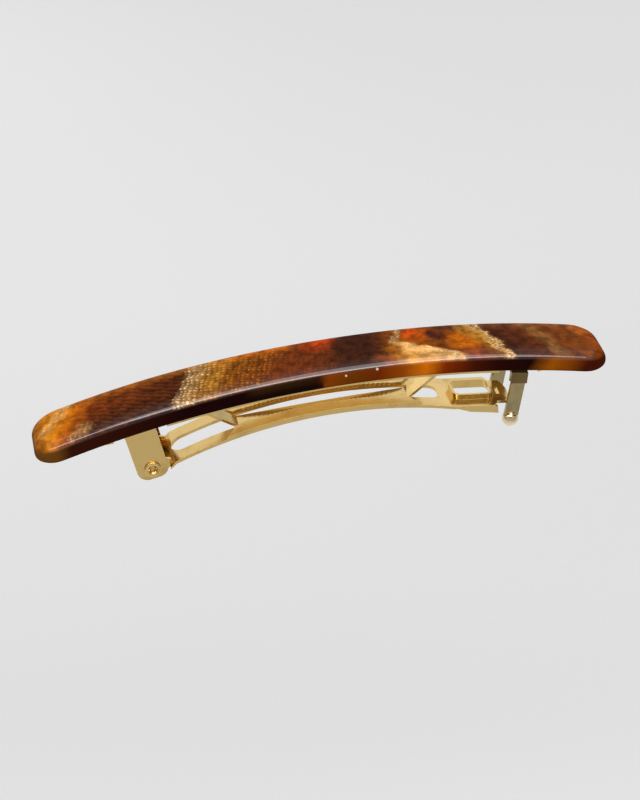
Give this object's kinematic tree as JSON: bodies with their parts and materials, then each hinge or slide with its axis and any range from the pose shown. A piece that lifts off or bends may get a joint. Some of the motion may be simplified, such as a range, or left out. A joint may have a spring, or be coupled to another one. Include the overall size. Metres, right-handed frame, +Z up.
{
  "type": "hair barrette",
  "caption": "Arched tortoiseshell bar barrette with a gilt spring clip beneath: hinged slotted arm, bowed tension leaf and ball-ended latch prongs.",
  "frame": {"origin": "middle of the part's bounding box, at the level of the two latch balls' lowest points", "axes": "+X along the bar towards the latch end, +Y across the bar towards the rear, +Z up through the bar's arched top"},
  "size_m": [0.0988, 0.0134, 0.0171],
  "materials": {
    "tortoiseshell": "polished acetate with amber, brown and cream patches",
    "adhesive": "thin cured adhesive",
    "gilt_steel": "polished pale gold plating on spring steel",
    "gilt_prong": "polished plating, a darker gold"
  },
  "bodies": {
    "bar_and_base": {"bar": "tortoiseshell", "adhesive_film": "adhesive", "base_plate": "gilt_steel", "hinge_pin": "gilt_steel", "tension_spring": "gilt_steel"},
    "arm": {"clasp_arm": "gilt_steel"},
    "prong_front": {"latch_prong_front": "gilt_prong"},
    "prong_rear": {"latch_prong_rear": "gilt_prong"}
  },
  "joints": [
    {"name": "clasp_hinge", "type": "hinge", "parent": "bar_and_base", "child": "arm", "pos_m": [-0.03036, 0, 0.00321], "axis": [0, 1, 0], "range_deg": [0, 75]},
    {"name": "front_prong_spread", "type": "hinge", "parent": "bar_and_base", "child": "prong_front", "pos_m": [0.03327, -0.0053, 0.00818], "axis": [-0.9693, 0, 0.246], "range_deg": [0, 5], "stiffness_Nm_per_rad": 0.05},
    {"name": "rear_prong_spread", "type": "hinge", "parent": "bar_and_base", "child": "prong_rear", "pos_m": [0.03327, 0.0053, 0.00818], "axis": [0.9693, 0, -0.246], "range_deg": [0, 5], "stiffness_Nm_per_rad": 0.05}
  ],
  "couplings": [
    {"joint": "rear_prong_spread", "follows": "front_prong_spread", "ratio": 1}
  ]
}
